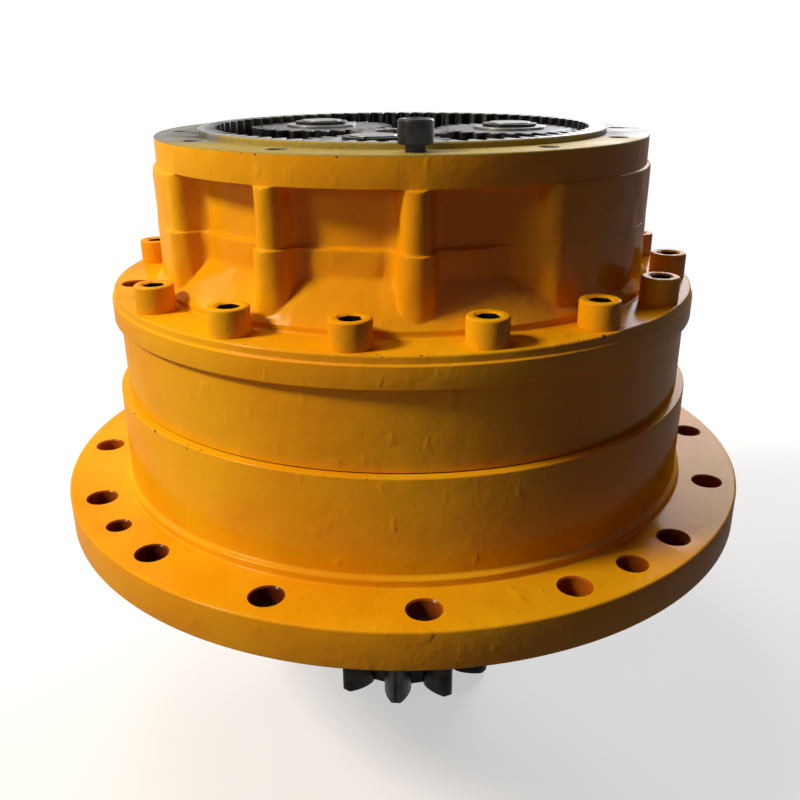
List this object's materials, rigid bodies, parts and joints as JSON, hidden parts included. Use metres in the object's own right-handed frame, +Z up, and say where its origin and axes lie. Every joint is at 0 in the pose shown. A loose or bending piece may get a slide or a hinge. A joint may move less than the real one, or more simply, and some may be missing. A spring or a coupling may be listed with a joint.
{
  "type": "swing gearbox",
  "caption": "Flanged planetary reduction gearbox for slewing a digger's upper body, with an output pinion below and an open motor mouth on top.",
  "frame": {"origin": "centre of the mounting flange's underside, on the gear axis", "axes": "+Z up along the gear axis to the motor's mouth, -Y the side the picture shows"},
  "size_m": [0.62, 0.6198, 0.5584],
  "materials": {
    "enamel": "gloss enamel over cast and turned iron",
    "machined_steel": "machined, lightly oiled",
    "gear_steel": "hardened and ground, oiled",
    "dark_steel": "blackened",
    "bearing_steel": "ground",
    "bronze": "turned",
    "cast_carrier": "machined cast iron",
    "seal_rubber": "matt"
  },
  "bodies": {
    "housing": {"lower_casing": "enamel", "second_ring_gear": "enamel", "upper_casing": "enamel", "first_ring_gear": "machined_steel", "flange_screws": "enamel", "motor_screw": "dark_steel", "casing_dowels": "machined_steel", "seal_carrier": "machined_steel", "neck_snap_ring": "dark_steel", "shaft_seal": "seal_rubber", "lower_bearing_outer_race": "bearing_steel", "upper_bearing_outer_race": "bearing_steel"},
    "output_shaft": {"pinion_shaft": "dark_steel", "lower_bearing_inner_race": "bearing_steel", "upper_bearing_inner_race": "bearing_steel", "bearing_spacer": "machined_steel", "lock_washer": "machined_steel", "shaft_nut": "dark_steel", "second_carrier": "cast_carrier", "second_pins": "gear_steel", "second_thrust_washers": "bronze", "shaft_thrust_button": "bronze"},
    "lower_roller_set": {"lower_bearing_rollers": "bearing_steel", "lower_bearing_cage": "machined_steel"},
    "upper_roller_set": {"upper_bearing_rollers": "bearing_steel", "upper_bearing_cage": "machined_steel"},
    "middle_shaft": {"second_sun": "gear_steel", "first_carrier": "cast_carrier", "first_pins": "gear_steel", "first_thrust_washers": "bronze", "first_snap_rings": "dark_steel", "sun_snap_ring": "dark_steel", "sun_thrust_plate": "gear_steel"},
    "input_sun": {"first_sun": "gear_steel"},
    "first_stage_planet_1": {"first_planet_1": "gear_steel", "first_bush_1": "bronze"},
    "first_stage_planet_2": {"first_planet_2": "gear_steel", "first_bush_2": "bronze"},
    "first_stage_planet_3": {"first_planet_3": "gear_steel", "first_bush_3": "bronze"},
    "second_stage_planet_1": {"second_planet_1": "gear_steel", "second_bush_1": "bronze"},
    "second_stage_planet_2": {"second_planet_2": "gear_steel", "second_bush_2": "bronze"},
    "second_stage_planet_3": {"second_planet_3": "gear_steel", "second_bush_3": "bronze"}
  },
  "joints": [
    {"name": "output_spin", "type": "hinge", "parent": "housing", "child": "output_shaft", "pos_m": [0, 0, 0], "axis": [0, 0, 1], "continuous": true},
    {"name": "lower_rollers_spin", "type": "hinge", "parent": "housing", "child": "lower_roller_set", "pos_m": [0, 0, 0], "axis": [0, 0, 1], "continuous": true},
    {"name": "upper_rollers_spin", "type": "hinge", "parent": "housing", "child": "upper_roller_set", "pos_m": [0, 0, 0], "axis": [0, 0, 1], "continuous": true},
    {"name": "middle_spin", "type": "hinge", "parent": "housing", "child": "middle_shaft", "pos_m": [0, 0, 0], "axis": [0, 0, 1], "continuous": true},
    {"name": "input_spin", "type": "hinge", "parent": "housing", "child": "input_sun", "pos_m": [0, 0, 0], "axis": [0, 0, 1], "continuous": true},
    {"name": "second_planet_1_spin", "type": "hinge", "parent": "output_shaft", "child": "second_stage_planet_1", "pos_m": [0.06825, -0.11821, 0.148], "axis": [0, 0, 1], "continuous": true},
    {"name": "second_planet_2_spin", "type": "hinge", "parent": "output_shaft", "child": "second_stage_planet_2", "pos_m": [0.06825, 0.11821, 0.148], "axis": [0, 0, 1], "continuous": true},
    {"name": "second_planet_3_spin", "type": "hinge", "parent": "output_shaft", "child": "second_stage_planet_3", "pos_m": [-0.1365, 0, 0.148], "axis": [0, 0, 1], "continuous": true},
    {"name": "first_planet_1_spin", "type": "hinge", "parent": "middle_shaft", "child": "first_stage_planet_1", "pos_m": [-0.0262, -0.0978, 0.294], "axis": [0, 0, 1], "continuous": true},
    {"name": "first_planet_2_spin", "type": "hinge", "parent": "middle_shaft", "child": "first_stage_planet_2", "pos_m": [0.0978, 0.0262, 0.294], "axis": [0, 0, 1], "continuous": true},
    {"name": "first_planet_3_spin", "type": "hinge", "parent": "middle_shaft", "child": "first_stage_planet_3", "pos_m": [-0.0716, 0.0716, 0.294], "axis": [0, 0, 1], "continuous": true}
  ],
  "couplings": [
    {"joint": "lower_rollers_spin", "follows": "output_spin", "ratio": 0.42163},
    {"joint": "upper_rollers_spin", "follows": "output_spin", "ratio": 0.42082},
    {"joint": "middle_spin", "follows": "output_spin", "ratio": 3.9},
    {"joint": "input_spin", "follows": "output_spin", "ratio": 19.5},
    {"joint": "second_planet_1_spin", "follows": "output_spin", "ratio": -3.0526},
    {"joint": "second_planet_2_spin", "follows": "output_spin", "ratio": -3.0526},
    {"joint": "second_planet_3_spin", "follows": "output_spin", "ratio": -3.0526},
    {"joint": "first_planet_1_spin", "follows": "output_spin", "ratio": -10.4},
    {"joint": "first_planet_2_spin", "follows": "output_spin", "ratio": -10.4},
    {"joint": "first_planet_3_spin", "follows": "output_spin", "ratio": -10.4}
  ]
}
